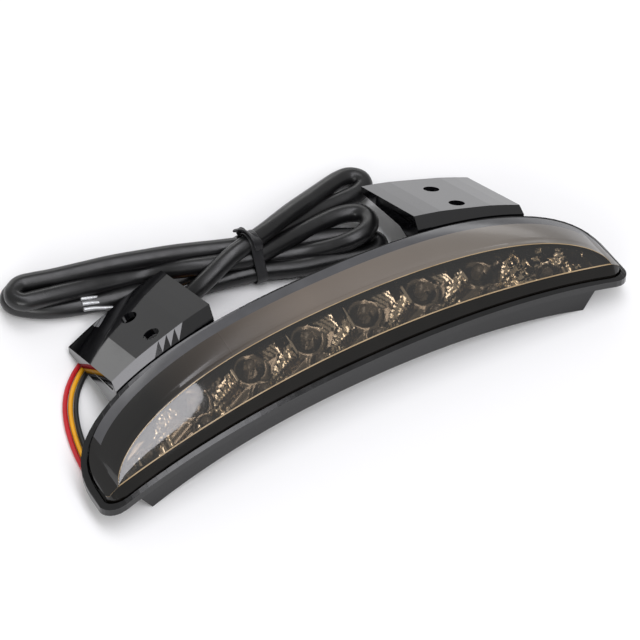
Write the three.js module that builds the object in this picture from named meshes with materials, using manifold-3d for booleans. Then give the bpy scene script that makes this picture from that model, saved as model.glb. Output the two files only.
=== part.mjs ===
// Fender-edge LED tail light: smoked crescent lens on a black housing with two
// perforated mounting legs, and a sleeved cable tied in a hank.
// Millimetres, +Z up. The lamp is modelled face up ("lamp frame": X along the
// crescent, Y towards the legs) and laid down on its resting plane at the end.
import * as THREE from 'three';
import Module from 'manifold-3d';
import { mergeVertices } from 'three/addons/utils/BufferGeometryUtils.js';

const wasm = await Module();
wasm.setup();

// ---------- driving dimensions ----------
const HALF = 126;            // half of the crescent's length over the flange
const REAR_Y = 47;           // crescent depth at mid length
const TIP_Y = 4;             // where the front and rear outlines meet
const FRONT_RISE = 12.5;     // arch of the front edge
const REAR_RISE = 27;        // arch of the fender-side edge
const FLANGE_T = 3.4;        // flange thickness
const TUB_FRONT = 3.7;       // tub wall inside the flange outline, at the front
const TUB_REAR = 6.5;        // and at the fender side
const TUB_DEPTH = 15.5;      // flange face to tub underside
const TUB_HALF_TOP = 113;    // tub length under the flange (half)
const TUB_HALF_LOW = 104;    // tub length at the underside (half)
const WALL = 2.5;            // moulding wall
const GAP = 0.3;             // clearance between separate pieces
const LENS_T = 2.0;          // lens shell thickness
const CELLS = 8;             // reflector cells along the window
const CELL_PITCH = 27.4;     // cell spacing
const CELL_SHIFT = -4.6;     // the row of cells sits left of the centre line
const LED_D = 5;             // LED body diameter
const LEG_HOLE_D = 7;        // fender bolt holes
const LEG_PITCH = 20.4;      // fore-aft spacing of the two bolt holes of a leg
const LEG_IN = 49, LEG_OUT = 98;     // leg edges, from the centre line
const LEG_X = 73.6;          // bolt line from the centre line
const LEG_T = 3;             // leg plate thickness
const LEG_R = 250;           // fender arch radius the leg follows
const CABLE_D = 8, CABLE_R = CABLE_D / 2;    // sleeved cable
const WIRE_D = 2;            // single wires
const WIRE_GAP = 2.25;       // spacing of neighbouring wires
const TIN_R = 0.8;           // tinned strands at the wires' ends
const EXIT = { x: -108, y: 20, z: -5, r: 3.5 };            // wire exit, left end wall
const GROMMET = { x0: -112.2, x1: -104.6, r: 3.1 };        // rubber grommet in the wire exit
const BOARD_TOP = -7.6, BOARD_T = 1.6;                     // circuit board, from the flange face
const BOARD_SCREWS = [[-87, 13], [-4.6, 20], [77.8, 14]];  // board screws, lamp frame
const LEG_SCREW_X = [59, 88];                              // screws from each leg into the tub
const LENS_D = 2.4;          // lens outline inside the flange outline
const LENS_HALF = HALF - 3.2, WIN_HALF = 117.5;            // half lengths of the lens and its window
const TRAY_HALF = 112;       // half length of the reflector tray
const DIVIDER_LEAN = 2.6;    // the walls between cells lean along X by this much per mm of depth
const HANK_Z = [1.5, 15.5];  // the hank's solid, from the resting surface
const HANK_POINTS = 120;     // points round the hank's outline
const TIE = { x: -10.5, y: 40.5, turn: -0.1, half: 12.9, low: 0.95, high: 20.6, width: 4.6, t: 0.9 };
// The lamp rests on the tub's front lower edge and the legs' outer rear corners.
const REST_FRONT = { y: 1.28, z: -11.40 };   // lamp-frame contact line at the tub
const REST_REAR = { y: 81.10, z: 1.73 };     // lamp-frame contact line at the legs
const REST_SHIFT_Y = -44.95;                 // brings the lamp's box centre to Y = 0

// ---------- outlines of the crescent ----------
const clamp = (v, a, b) => Math.min(b, Math.max(a, v));
const lerp = (a, b, t) => a + (b - a) * t;

// front outline at x, moved in by d, for an outline whose half length is half
function frontY(x, d = 0, half = HALF) {
  const u = Math.min(Math.abs(x), 118) / 118;
  const base = -3 + 7 * (1 - u * u) + d;
  const c = clamp((Math.abs(x) - (half - 8)) / 8, 0, 1);
  return lerp(base, Math.max(TIP_Y, base), 1 - Math.sqrt(1 - c * c));
}
// fender-side outline at x, moved in by d
function rearY(x, d = 0, half = HALF) {
  const u = clamp(Math.abs(x) / half, 0, 1);
  return TIP_Y + (REAR_Y - d - TIP_Y) * Math.pow(1 - Math.pow(u, 2.4), 0.27);
}
function frontZ(x) {
  const u = clamp(Math.abs(x) / HALF, 0, 1);
  return FRONT_RISE * Math.pow(1 - Math.pow(u, 2.4), 0.9);
}
function rearZ(x) {
  const u = clamp(Math.abs(x) / HALF, 0, 1);
  return REAR_RISE * Math.pow(1 - Math.pow(u, 2.2), 0.6);
}
// height of the flange face
function faceZ(x, y) {
  const a = frontY(x), b = rearY(x);
  const t = clamp((y - a) / Math.max(b - a, 2), -0.1, 1.15);
  return lerp(frontZ(x), rearZ(x), t);
}

// ---------- solids ----------
function mesh(name, geometry, color, rough = 0.5, metal = 0, extra = {}) {
  const m = new THREE.Mesh(geometry, new THREE.MeshStandardMaterial(
    { color, roughness: rough, metalness: metal, ...extra }));
  m.name = name;
  return m;
}
// closed loft: rings is an array of rings, each an array of [x, y, z], counter-clockwise
// in (y, z); the rings run towards +x
function loft(rings) {
  const n = rings[0].length, pos = [], idx = [];
  rings.forEach((r) => r.forEach((p) => pos.push(...p)));
  for (let i = 0; i < rings.length - 1; i++) {
    for (let j = 0; j < n; j++) {
      const a = i * n + j, b = i * n + (j + 1) % n, c = a + n, d = b + n;
      idx.push(a, b, c, b, d, c);
    }
  }
  const cap = (start, flip) => {
    const pts = rings[start].map((p) => new THREE.Vector2(p[1], p[2]));
    THREE.ShapeUtils.triangulateShape(pts, []).forEach(([a, b, c]) => {
      const o = start * n;
      if (flip) idx.push(o + a, o + c, o + b); else idx.push(o + a, o + b, o + c);
    });
  };
  cap(0, true);
  cap(rings.length - 1, false);
  const g = new THREE.BufferGeometry();
  g.setAttribute('position', new THREE.Float32BufferAttribute(pos, 3));
  g.setIndex(idx);
  return g;
}
// boolean-ready solid of a geometry
function solid(geometry) {
  let g = geometry.index ? geometry.clone() : geometry;
  for (const k of Object.keys(g.attributes)) if (k !== 'position') g.deleteAttribute(k);
  g = mergeVertices(g, 1e-4);
  const s = new wasm.Manifold(new wasm.Mesh({
    numProp: 3, vertProperties: new Float32Array(g.attributes.position.array),
    triVerts: new Uint32Array(g.index.array) }));
  return s;
}
function shape(manifold) {
  const m = manifold.getMesh();
  const g = new THREE.BufferGeometry();
  g.setAttribute('position', new THREE.Float32BufferAttribute(Array.from(m.vertProperties), 3));
  g.setIndex(Array.from(m.triVerts));
  return g;
}
function stations(half, n) {
  const out = [];
  for (let i = 0; i <= n; i++) {
    const t = -1 + 2 * i / n;
    out.push(Math.sign(t) * Math.pow(Math.abs(Math.sin(t * Math.PI / 2)), 0.9));
  }
  return out.map((t) => t * half);
}
// slab between two heights over the flange face, inside the outline moved in by d
function slab({ d, rear = d, half, halfLow = half, low, high, n = 40, sharp = false }) {
  const rings = stations(1, n).map((t) => {
    const x = t * half * (sharp ? 1 : 0.9995), xl = x * halfLow / half;
    const o = sharp ? HALF : half;
    const yf = frontY(x, d, o), yr = rearY(x, rear, o);
    return [[xl, yf, faceZ(x, yf) + low], [xl, yr, faceZ(x, yr) + low],
      [x, yr, faceZ(x, yr) + high], [x, yf, faceZ(x, yf) + high]];
  });
  return solid(loft(rings));
}
function cylinderZ(x, y, z0, z1, r, sides = 16) {
  return new THREE.CylinderGeometry(r, r, z1 - z0, sides).rotateX(Math.PI / 2)
    .translate(x, y, (z0 + z1) / 2);
}
function block(x0, x1, y0, y1, z0, z1) {
  return new THREE.BoxGeometry(x1 - x0, y1 - y0, z1 - z0)
    .translate((x0 + x1) / 2, (y0 + y1) / 2, (z0 + z1) / 2);
}

const group = new THREE.Group();
group.name = 'fender_tail_light';
const lamp = [];             // lamp-frame meshes, laid down on the resting plane
const add = (m) => { lamp.push(m); group.add(m); };
const REST_TILT = Math.atan2(REST_REAR.z - REST_FRONT.z, REST_REAR.y - REST_FRONT.y);
const toRest = new THREE.Matrix4().makeTranslation(0, REST_SHIFT_Y, 0)
  .multiply(new THREE.Matrix4().makeRotationX(-REST_TILT))
  .multiply(new THREE.Matrix4().makeTranslation(0, -REST_FRONT.y, -REST_FRONT.z));

// matrix of the face's own frame at (x, y): Z along the face normal, origin on the layer that
// lies h above the face
function onFace(x, y, h) {
  const e = 0.5, dx = (faceZ(x + e, y) - faceZ(x - e, y)) / (2 * e);
  const dy = (faceZ(x, y + e) - faceZ(x, y - e)) / (2 * e);
  const n = new THREE.Vector3(-dx, -dy, 1).normalize();
  const q = new THREE.Quaternion().setFromUnitVectors(new THREE.Vector3(0, 0, 1), n);
  const origin = new THREE.Vector3(x, y, faceZ(x, y)).addScaledVector(n, h * n.z);
  return new THREE.Matrix4().compose(origin, q, new THREE.Vector3(1, 1, 1));
}

// ---------- housing: flange, tub, screw posts, wire exit ----------
const flange = slab({ d: 0, half: HALF, low: -FLANGE_T, high: 0, n: 48 });
const tub = slab({ d: TUB_FRONT, rear: TUB_REAR, half: TUB_HALF_TOP, halfLow: TUB_HALF_LOW,
  low: -TUB_DEPTH, high: -1, n: 36, sharp: true });
const pocket = slab({ d: TUB_FRONT + WALL, rear: TUB_REAR + WALL, half: TUB_HALF_TOP - WALL,
  halfLow: TUB_HALF_LOW - WALL, low: -TUB_DEPTH + WALL, high: 4, n: 36, sharp: true });
const grooveOut = slab({ d: 2.0, half: HALF - 2.3, low: -2.4, high: 3, n: 48 });
const grooveIn = slab({ d: 5.0, half: HALF - 7.8, low: -4, high: 4, n: 48 });
let body = flange.add(tub).subtract(grooveOut.subtract(grooveIn)).subtract(pocket);
for (const [x, y] of BOARD_SCREWS) {
  const m = onFace(x, y, 0);
  const post = cylinderZ(0, 0, -TUB_DEPTH + 1.6, BOARD_TOP - BOARD_T - GAP, 3.1);
  body = body.add(solid(post.applyMatrix4(m)))
    .subtract(solid(cylinderZ(0, 0, -TUB_DEPTH + 2.6, 2, 1.35).applyMatrix4(m)));
}
const alongX = (r, len, sides) => new THREE.CylinderGeometry(r, r, len, sides).rotateZ(Math.PI / 2);
body = body.subtract(solid(alongX(EXIT.r, 14, 20).translate(EXIT.x, EXIT.y, EXIT.z)));
const legScrewAt = (x) => {
  const y = rearY(x, TUB_REAR) + 0.45;
  return [x, y, faceZ(x, y) - FLANGE_T - 0.5 - 5.8];
};
for (const side of [-1, 1]) {
  for (const v of LEG_SCREW_X) {
    const [x, y, z] = legScrewAt(side * v);
    body = body.subtract(solid(new THREE.CylinderGeometry(1.5, 1.5, 12, 12).translate(x, y - 2, z)));
  }
}

// ---------- lens: smoked shell with a window between two creases and a satin brow ----------
function creaseLow(x, half = WIN_HALF) {
  const w = clamp(Math.abs(x) / half, 0, 1), k = 1 - w * w;
  return [2.1 + 7.4 * k, 8 + 11 * k];
}
function creaseHigh(x, half = WIN_HALF) {
  const w = clamp(Math.abs(x) / half, 0, 1);
  return [2.1 + 26.4 * Math.pow(1 - w * w, 0.62), 8 + 17.5 * Math.pow(1 - Math.pow(w, 4), 0.6)];
}
function lensRing(t, off) {
  const half = LENS_HALF - off, x = t * half * 0.9996;
  const d = LENS_D + off;
  const bf = frontY(x, d, half), br = rearY(x, d, half);
  const bottomF = faceZ(x, bf) + (off ? -6 : -1.1), bottomR = faceZ(x, br) + (off ? -6 : -1.1);
  const win = WIN_HALF - 0.6 * off;
  let lo = creaseLow(x, win), hi = creaseHigh(x, win);
  // past the window's tip the crease point sinks to the edge of the lens
  const past = clamp((Math.abs(x) - win) / (half - win + 0.5), 0, 1);
  const lipF = faceZ(x, bf) + 1.1 - 0.3 * off;
  lo = [clamp(lo[0], bf + 0.3, br - 1.2), lerp(lo[1], lipF + 0.6, past)];
  hi = [clamp(hi[0], lo[0] + 0.15, br - 0.9), lerp(hi[1], lipF + 0.75, past)];
  const rimH = lerp(3.3, 1.6, clamp((Math.abs(x) - 60) / 62, 0, 1)) * (1 - 0.5 * past);
  const rimY = br - 0.5, rim = Math.max(faceZ(x, br) + rimH, 0);
  const at = (p, q, k, bulge = 0) =>
    [lerp(p[0], q[0], k), lerp(p[1], q[1], k) + bulge * 4 * k * (1 - k)];
  const wide = Math.min(1, (hi[0] - lo[0]) / 18);
  const edge = [rimY, rim];
  const top = [edge, at(edge, hi, 0.35, 0.9 * wide), at(edge, hi, 0.7, 0.8 * wide), hi,
    at(hi, lo, 0.25, 1.3 * wide), at(hi, lo, 0.5, 1.3 * wide), at(hi, lo, 0.75, 1.3 * wide), lo];
  const ring = [[bf, bottomF], [br, bottomR], [br, Math.max(rim - 0.7, bottomR + 0.2) - off],
    ...top.map(([y, z]) => [y, z - off]), [bf, lipF - 0.4 * off]];
  return ring.map(([y, z]) => [x, y, z]);
}
const lensStations = stations(1, 52);
const lensOuter = solid(loft(lensStations.map((t) => lensRing(t, 0))));
const lensInner = solid(loft(lensStations.map((t) => lensRing(t, LENS_T))));
const lens = lensOuter.subtract(lensInner);
const seal = slab({ d: 2.5, half: LENS_HALF, low: -2.1, high: -1.35, n: 40 })
  .subtract(slab({ d: 4.2, half: LENS_HALF - 1.9, low: -4, high: 2, n: 40 }));

// ---------- reflector: chromed tray with slanted cells ----------
let tray = slab({ d: 5.4, rear: 6.6, half: TRAY_HALF, low: GAP, high: 1.6, n: 40 });
const inFront = TUB_FRONT + WALL, inRear = TUB_REAR + WALL;      // the pocket's walls
const sink = slab({ d: inFront + 0.6, rear: inRear + 1.4, half: 104, halfLow: 102.6, low: -6.2,
  high: 1.2, n: 36, sharp: true });
const hollow = slab({ d: inFront + 1.8, rear: inRear + 2.6, half: 102.6, halfLow: 101.2, low: -5.0,
  high: 8, n: 36, sharp: true });
const columns = [];
for (let k = 0; k < CELLS; k++) columns.push(CELL_SHIFT + (k - (CELLS - 1) / 2) * CELL_PITCH);
let cells = null;
columns.forEach((cx, k) => {
  const at = (x, y) => new THREE.Vector2(x + DIVIDER_LEAN * (clamp(y, 10, 19) - 16), y);
  const a = k === 0 ? cx - 40 : cx - CELL_PITCH / 2 + 0.5 - 2.4;
  const b = k === CELLS - 1 ? cx + 40 : cx + CELL_PITCH / 2 - 0.5 - 2.4;
  const s = new THREE.Shape([at(a, 0), at(b, 0), at(b, 10), at(b, 19), at(b, 46), at(a, 46),
    at(a, 19), at(a, 10)]);
  const p = solid(new THREE.ExtrudeGeometry(s, { depth: 60, bevelEnabled: false }).translate(0, 0, -15));
  cells = cells ? cells.add(p) : p;
});
tray = tray.add(sink).subtract(hollow.intersect(cells));
const leds = [];              // upper row and lower row; one LED in each narrow end cell
columns.forEach((cx, k) => {
  const end = k === 0 || k === CELLS - 1;
  if (!end) leds.push([cx, 25 - 0.0006 * cx * cx, `led_upper_${k + 1}`]);
  leds.push([cx, end ? 11 : 13.5 - 0.0005 * cx * cx, `led_lower_${k + 1}`]);
});
for (const [x, y] of leds) {
  const hole = cylinderZ(0, 0, -20, 12, LED_D / 2 + 0.5, 12);
  tray = tray.subtract(solid(hole.applyMatrix4(onFace(x, y, 0))));
}
for (const [x, y] of BOARD_SCREWS) {
  tray = tray.subtract(solid(cylinderZ(0, 0, -20, 12, 3.2, 12).applyMatrix4(onFace(x, y, 0))));
}
tray = tray.decompose().sort((a, b) => b.volume() - a.volume())[0];

add(mesh('housing', shape(body), 0x141415, 0.35));
add(mesh('smoked_lens', shape(lens), 0x3a2e26, 0.1, 0, { transparent: true, opacity: 0.55 }));
add(mesh('lens_seal', shape(seal), 0x0c0c0c, 0.8));
add(mesh('reflector', shape(tray), 0xb8b4ac, 0.2, 0.9));

// ---------- circuit board, LEDs, board screws ----------
let board = slab({ d: inFront + 1.2, rear: inRear + 2.4, half: 99, low: BOARD_TOP - BOARD_T,
  high: BOARD_TOP, n: 32, sharp: true });
for (const [x, y] of BOARD_SCREWS) {
  board = board.subtract(solid(cylinderZ(0, 0, -30, 12, 1.7, 14).applyMatrix4(onFace(x, y, 0))));
}
add(mesh('led_board', shape(board), 0x1f5a34, 0.6));
function turned(points, sides) {
  return new THREE.LatheGeometry(points.map(([a, b]) => new THREE.Vector2(a, b)), sides)
    .rotateX(Math.PI / 2);
}
const r = LED_D / 2;
for (const [x, y, name] of leds) {
  const g = turned([[0, 0], [r + 0.35, 0], [r + 0.35, 1], [r, 1.1], [r, 5.6], [r * 0.87, 6.9],
    [r * 0.5, 7.8], [0, 8.1]], 12);
  add(mesh(name, g.applyMatrix4(onFace(x, y, BOARD_TOP + 0.42)), 0xc9c4b8, 0.15));
}
BOARD_SCREWS.forEach(([x, y], i) => {
  const g = turned([[0, -4.2], [1.15, -4.2], [1.15, 0], [2.6, 0], [2.6, 0.9], [1.7, 1.7], [0, 1.9]], 16);
  add(mesh(`board_screw_${i + 1}`, g.applyMatrix4(onFace(x, y, BOARD_TOP + 0.4)), 0x9a9a9a, 0.3, 1));
});

// ---------- mounting legs: plates that slip under the fender skin ----------
// the plate is folded along straight lines, so that the pad round the bolt holes is flat
const LEG_FOLDS = [LEG_IN, 55, 62, 85.2, 92, LEG_OUT];
function legTop(x, y) {
  const v = clamp(Math.abs(x), LEG_IN, LEG_OUT);
  let i = 0;
  while (i < LEG_FOLDS.length - 2 && v > LEG_FOLDS[i + 1]) i++;
  const [a, b] = [LEG_FOLDS[i], LEG_FOLDS[i + 1]];
  const arch = lerp(a * a, b * b, (v - a) / (b - a)) / (2 * LEG_R);
  return 34.5 - 0.37 * (y - 53.9) - arch;
}
const legRear = (x) => 90.5 - 9 * Math.pow((Math.abs(x) - LEG_IN) / (LEG_OUT - LEG_IN), 1.3);
const LEG_STATIONS = [LEG_IN, 52, 55, 58.5, 62, 66, 70, 74, 78, 81.6, 85.2, 88.6, 92, 95, LEG_OUT];
function legRing(x) {
  const yt = rearY(x, TUB_REAR) + 0.45, ye = rearY(x) + 0.5, yr = legRear(x);
  const zf = faceZ(x, yt) - FLANGE_T - 0.5, zr = faceZ(x, rearY(x)) - FLANGE_T - 0.5;
  return [[yt, zf - 9], [yt + 3, zf - 9], [yt + 3, zf - 3], [ye + 2.8, zr - 3],
    [ye + 2.8, legTop(x, ye + 3.6) - LEG_T], [yr, legTop(x, yr) - LEG_T], [yr, legTop(x, yr)],
    [ye + 3.6, legTop(x, ye + 3.6)], [ye, zr + FLANGE_T + 1.2], [ye, zr], [yt, zf]]
    .map(([y, z]) => [x, y, z]);
}
// side gusset: a web from the foot to the rear edge
function gusset(x0, x1) {
  const ring = (x) => {
    const yt = rearY(x, TUB_REAR) + 0.45, ye = rearY(x) + 0.5, yr = legRear(x) - 0.4;
    const zf = faceZ(x, yt) - FLANGE_T - 0.5, zr = faceZ(x, rearY(x)) - FLANGE_T - 0.5;
    return [[yt + 1, zf - 9], [ye + 14, legTop(x, ye + 14) - 10], [yr, legTop(x, yr) - LEG_T - 0.5],
      [yr, legTop(x, yr) - 1], [ye + 1.4, legTop(x, ye + 3.6) - 4.6], [ye + 1.4, zr - 1],
      [yt + 1, zf - 1.2]]
      .map(([y, z]) => [x, y, z]);
  };
  return solid(loft([ring(x0), ring(x1)]));
}
function leg(side) {
  let s = solid(loft((side > 0 ? LEG_STATIONS : LEG_STATIONS.map((v) => -v).reverse()).map(legRing)));
  const edges = side > 0 ? [[LEG_IN, LEG_IN + 2.6], [LEG_OUT - 2.6, LEG_OUT]]
    : [[-LEG_OUT, -LEG_OUT + 2.6], [-LEG_IN - 2.6, -LEG_IN]];
  for (const [a, b] of edges) s = s.add(gusset(a, b));
  for (const k of [-0.5, 0.5]) s = s.subtract(legDrill(side, k, LEG_HOLE_D / 2, 20));
  for (const v of LEG_SCREW_X) {
    const [x, y, z] = legScrewAt(side * v);
    s = s.subtract(solid(new THREE.CylinderGeometry(1.9, 1.9, 8, 14).translate(x, y + 1.5, z)));
  }
  return s;
}
// drill through the flat pad, square to it
const PAD_SLOPE = new THREE.Vector3(-(legTop(85.2, 60) - legTop(62, 60)) / 23.2, 0.37, 1).normalize();
function padFrame(side, k) {
  const y = 63.9 + k * LEG_PITCH * Math.cos(Math.atan(0.37));
  const z = (legTop(62, y) + legTop(85.2, y)) / 2;
  const n = new THREE.Vector3(side * PAD_SLOPE.x, PAD_SLOPE.y, PAD_SLOPE.z);
  return new THREE.Matrix4().compose(new THREE.Vector3(side * LEG_X, y, z),
    new THREE.Quaternion().setFromUnitVectors(new THREE.Vector3(0, 0, 1), n), new THREE.Vector3(1, 1, 1));
}
function legDrill(side, k, radius, sides) {
  return solid(cylinderZ(0, 0, -12, 12, radius, sides).applyMatrix4(padFrame(side, k)));
}
const legLeft = leg(-1), legRight = leg(1);
add(mesh('leg_left', shape(legLeft), 0x101011, 0.2));
add(mesh('leg_right', shape(legRight), 0x101011, 0.2));
for (const [side, label] of [[-1, 'left'], [1, 'right']]) {
  LEG_SCREW_X.forEach((v, i) => {
    const [x, y, z] = legScrewAt(side * v);
    const g = new THREE.LatheGeometry([[0, -3.2], [1.1, -3.2], [1.1, 3.7], [2.9, 3.7], [2.9, 4.6],
      [1.8, 5.5], [0, 5.7]].map(([a, b]) => new THREE.Vector2(a, b)), 16).translate(x, y, z);
    add(mesh(`leg_screw_${label}_${i + 1}`, g, 0x2a2a2a, 0.4, 0.8));
  });
}
add(mesh('wire_grommet', alongX(GROMMET.r, GROMMET.x1 - GROMMET.x0, 18)
  .translate((GROMMET.x0 + GROMMET.x1) / 2, EXIT.y, EXIT.z), 0x0b0b0b, 0.8));

for (const m of lamp) m.geometry.applyMatrix4(toRest);

// ---------- harness: three wires, then the sleeved cable in a tied hank ----------
// The routes are in the resting frame, on the surface that the lamp lies on.
function tube(name, points, radius, sides, steps, color, rough = 0.5, metal = 0) {
  const path = new THREE.CatmullRomCurve3(points.map((p) => new THREE.Vector3(...p)), false, 'centripetal');
  const ring = [];
  for (let i = 0; i < sides; i++) {
    const a = 2 * Math.PI * i / sides;
    ring.push(new THREE.Vector2(radius * Math.cos(a), radius * Math.sin(a)));
  }
  const g = new THREE.ExtrudeGeometry(new THREE.Shape(ring), { steps, bevelEnabled: false, extrudePath: path });
  group.add(mesh(name, g, color, rough, metal));
}
// the middle wire's route; the others run beside it, spaced by side
const WIRE_ROUTE = [[-112.5, -25.9, 3.4], [-114.2, -25.9, 3.2], [-116.2, -25.0, 2.8], [-117.6, -22.6, 2.2],
  [-118.0, -19.0, 1.6], [-117.7, -14.5, 1.3], [-117.0, -9.0, 1.3], [-115.8, -3.0, 1.3],
  [-113.8, 4.0, 1.3], [-110.8, 11.0, 1.3], [-106.6, 17.4, 1.3], [-101.4, 22.6, 1.2], [-96.0, 26.4, 1.2],
  [-90.0, 29.2, 1.9], [-85.0, 30.8, 3.1], [-80.9, 31.6, 4.1]];
function besideRoute(route, offset) {
  return route.map((p, i) => {
    const a = route[Math.max(i - 1, 0)], b = route[Math.min(i + 1, route.length - 1)];
    const dx = b[0] - a[0], dy = b[1] - a[1], l = Math.hypot(dx, dy);
    return [p[0] - offset * dy / l, p[1] + offset * dx / l, p[2]];
  });
}
[['wire_red', 1, 0xb01820], ['wire_yellow', 0, 0xd9a520], ['wire_black', -1, 0x141414]]
  .forEach(([name, side, color]) => {
    tube(name, besideRoute(WIRE_ROUTE, side * WIRE_GAP), WIRE_D / 2, 8, 32, color);
  });
const LEAD_ROUTE = [[-76.5, 32.1, 4.3], [-70, 32.7, 4.3], [-63, 33, 4.3], [-55, 33.2, 4.3],
  [-49.6, 33.3, 5.2], [-45.9, 33.4, 6.3]];
tube('cable_lead', LEAD_ROUTE, CABLE_R, 10, 14, 0x121212, 0.45);
// shrink collar where the wires enter the sleeve
const COLLAR = { from: [-80.5, 31.65, 4.3], to: [-76.9, 32.05, 4.3] };
tube('sleeve_collar', [COLLAR.from, COLLAR.to], CABLE_R - 0.1, 10, 2, 0x0d0d0d, 0.7);

// outline of the tied hank, seen from above
const HANK = [
  [-99, 75.6], [-107, 75.4], [-112.4, 71], [-113, 65], [-109.5, 60], [-103, 56.4], [-95, 54.6],
  [-86, 53.6], [-78, 52.4], [-68, 50.6], [-60, 49.4], [-53, 49.4], [-48.2, 48.4], [-45.4, 44], [-44.4, 38],
  [-44.2, 32], [-41, 29.4], [-34, 30.2], [-26, 31.6], [-18, 30.2], [-10.5, 29.3], [-2.5, 26.8], [7.7, 23.2],
  [18.9, 20.6], [28, 18.4], [36.5, 16.4], [42.5, 16.6], [47, 20], [48.2, 26], [48.2, 36], [48, 44], [49.4, 48.6],
  [54.5, 49.4], [58.6, 54], [58.6, 59.5], [53.5, 64.2], [46, 64.2], [38, 62.2], [29, 59], [20, 55.4], [9, 52],
  [-10.5, 51.5], [-20, 54.6], [-30, 58], [-40, 61.2], [-53, 64.6], [-66, 68], [-78, 70.4], [-90, 73.2]];
const hankShape = new THREE.Shape(new THREE.SplineCurve(
  [...HANK, HANK[0]].map(([x, y]) => new THREE.Vector2(x, y))).getPoints(HANK_POINTS).slice(0, -1));
group.add(mesh('cable_hank', new THREE.ExtrudeGeometry(hankShape, {
  depth: HANK_Z[1] - HANK_Z[0], bevelEnabled: false }).translate(0, 0, HANK_Z[0]), 0x121212, 0.45));
// the sleeve ends inside the hank's front edge; its three wires run on under the left leg
const TAIL_ROUTE = [[-47.4, 40.9, 3.8], [-51, 41.6, 3.6], [-57, 43.0, 3.6], [-63, 44.6, 4.0], [-68, 46.0, 4.6],
  [-72, 47.2, 5.4]];
const TIN_ROUTE = [[-72.4, 47.3, 5.5], [-76, 48.3, 6.4], [-80, 49.4, 7.4], [-84.5, 50.3, 8.2]];
[['red', 1, 0.6, 0xb01820], ['yellow', 0, 0, 0xd9a520], ['black', -1, -0.9, 0x141414]]
  .forEach(([name, side, rise, color], i) => {
    const beside = (route) => besideRoute(route, -side * WIRE_GAP).map(([x, y, z]) => [x, y, z + rise]);
    tube(`tail_wire_${name}`, beside(TAIL_ROUTE), WIRE_D / 2, 8, 12, color);
    tube(`tinned_end_${i + 1}`, beside(TIN_ROUTE), TIN_R, 8, 5, 0xb9bcc0, 0.35, 0.8);
  });
// tie: a flat band round the hank's waist, with its twisted-over head on top
function tieBand() {
  const w = TIE.half, z0 = TIE.low, z1 = TIE.high, q = 3;
  const outline = (o) => {
    const p = new THREE.Path();
    p.moveTo(-w - o + q, z0 - o);
    p.lineTo(w + o - q, z0 - o);
    p.quadraticCurveTo(w + o, z0 - o, w + o, z0 - o + q);
    p.lineTo(w + o, z1 + o - q);
    p.quadraticCurveTo(w + o, z1 + o, w + o - q, z1 + o);
    p.lineTo(-w - o + q, z1 + o);
    p.quadraticCurveTo(-w - o, z1 + o, -w - o, z1 + o - q);
    p.lineTo(-w - o, z0 - o + q);
    p.quadraticCurveTo(-w - o, z0 - o, -w - o + q, z0 - o);
    return p;
  };
  const s = new THREE.Shape(outline(TIE.t).getPoints(4));
  s.holes.push(new THREE.Path(outline(0).getPoints(4)));
  let band = solid(new THREE.ExtrudeGeometry(s, { depth: TIE.width, bevelEnabled: false })
    .translate(0, 0, -TIE.width / 2).rotateX(Math.PI / 2));
  band = band.add(solid(block(-3.4, 2.2, -2.9, 2.9, z1 + 0.4, z1 + 3.6)));
  return shape(band).rotateZ(TIE.turn + Math.PI / 2).translate(TIE.x, TIE.y, 0);
}
group.add(mesh('cable_tie', tieBand(), 0x0e0e0e, 0.6));
export default group;
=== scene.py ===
"""Fender-edge LED tail light: smoked crescent lens, black housing and legs, sleeved cable in a tied hank."""
import bpy
import math
from mathutils import Matrix, Vector


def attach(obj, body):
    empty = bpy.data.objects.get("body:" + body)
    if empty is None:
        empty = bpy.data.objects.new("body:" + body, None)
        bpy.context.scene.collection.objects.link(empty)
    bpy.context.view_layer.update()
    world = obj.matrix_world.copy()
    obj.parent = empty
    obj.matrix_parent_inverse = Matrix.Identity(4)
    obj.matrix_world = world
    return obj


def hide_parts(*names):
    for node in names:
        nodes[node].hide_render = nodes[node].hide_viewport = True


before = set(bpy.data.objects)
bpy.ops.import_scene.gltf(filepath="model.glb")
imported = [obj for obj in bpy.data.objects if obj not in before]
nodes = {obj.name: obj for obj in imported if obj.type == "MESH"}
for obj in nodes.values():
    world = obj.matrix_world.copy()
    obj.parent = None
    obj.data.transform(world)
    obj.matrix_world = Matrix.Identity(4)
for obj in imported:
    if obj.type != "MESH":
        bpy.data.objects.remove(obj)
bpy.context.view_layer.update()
MM = 0.001


# ---------- camera ----------
camera = bpy.data.objects.new("camera", bpy.data.cameras.new("camera"))
bpy.context.scene.collection.objects.link(camera)
bpy.context.scene.camera = camera
camera.data.sensor_width = 36
camera.data.lens = 146.9
camera.data.clip_start = 0.05
camera.data.clip_end = 20
RIGHT = Vector((0.8517, -0.51699, 0.08505))
UP = Vector((0.3737, 0.71323, 0.59307))
BACK = Vector((-0.3673, -0.47333, 0.80070))
PLACE = Vector((-398.14, -513.34, 872.63)) * MM
camera.matrix_world = Matrix.Translation(PLACE) @ Matrix((RIGHT, UP, BACK)).transposed().to_4x4()


# ---------- materials ----------
def material(name, base=(0.5, 0.5, 0.5), rough=0.5, **sockets):
    m = bpy.data.materials.new(name)
    m.use_nodes = True
    n = m.node_tree.nodes["Principled BSDF"]
    n.inputs["Base Color"].default_value = (*base, 1)
    n.inputs["Roughness"].default_value = rough
    for key, value in sockets.items():
        n.inputs[key.replace("_", " ")].default_value = value
    return m, m.node_tree, n


def noise(tree, scale, detail=4.0):
    coord = tree.nodes.new("ShaderNodeTexCoord")
    tex = tree.nodes.new("ShaderNodeTexNoise")
    tex.inputs["Scale"].default_value = scale
    tex.inputs["Detail"].default_value = detail
    tree.links.new(coord.outputs["Object"], tex.inputs["Vector"])
    return tex.outputs["Fac"]


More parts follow.
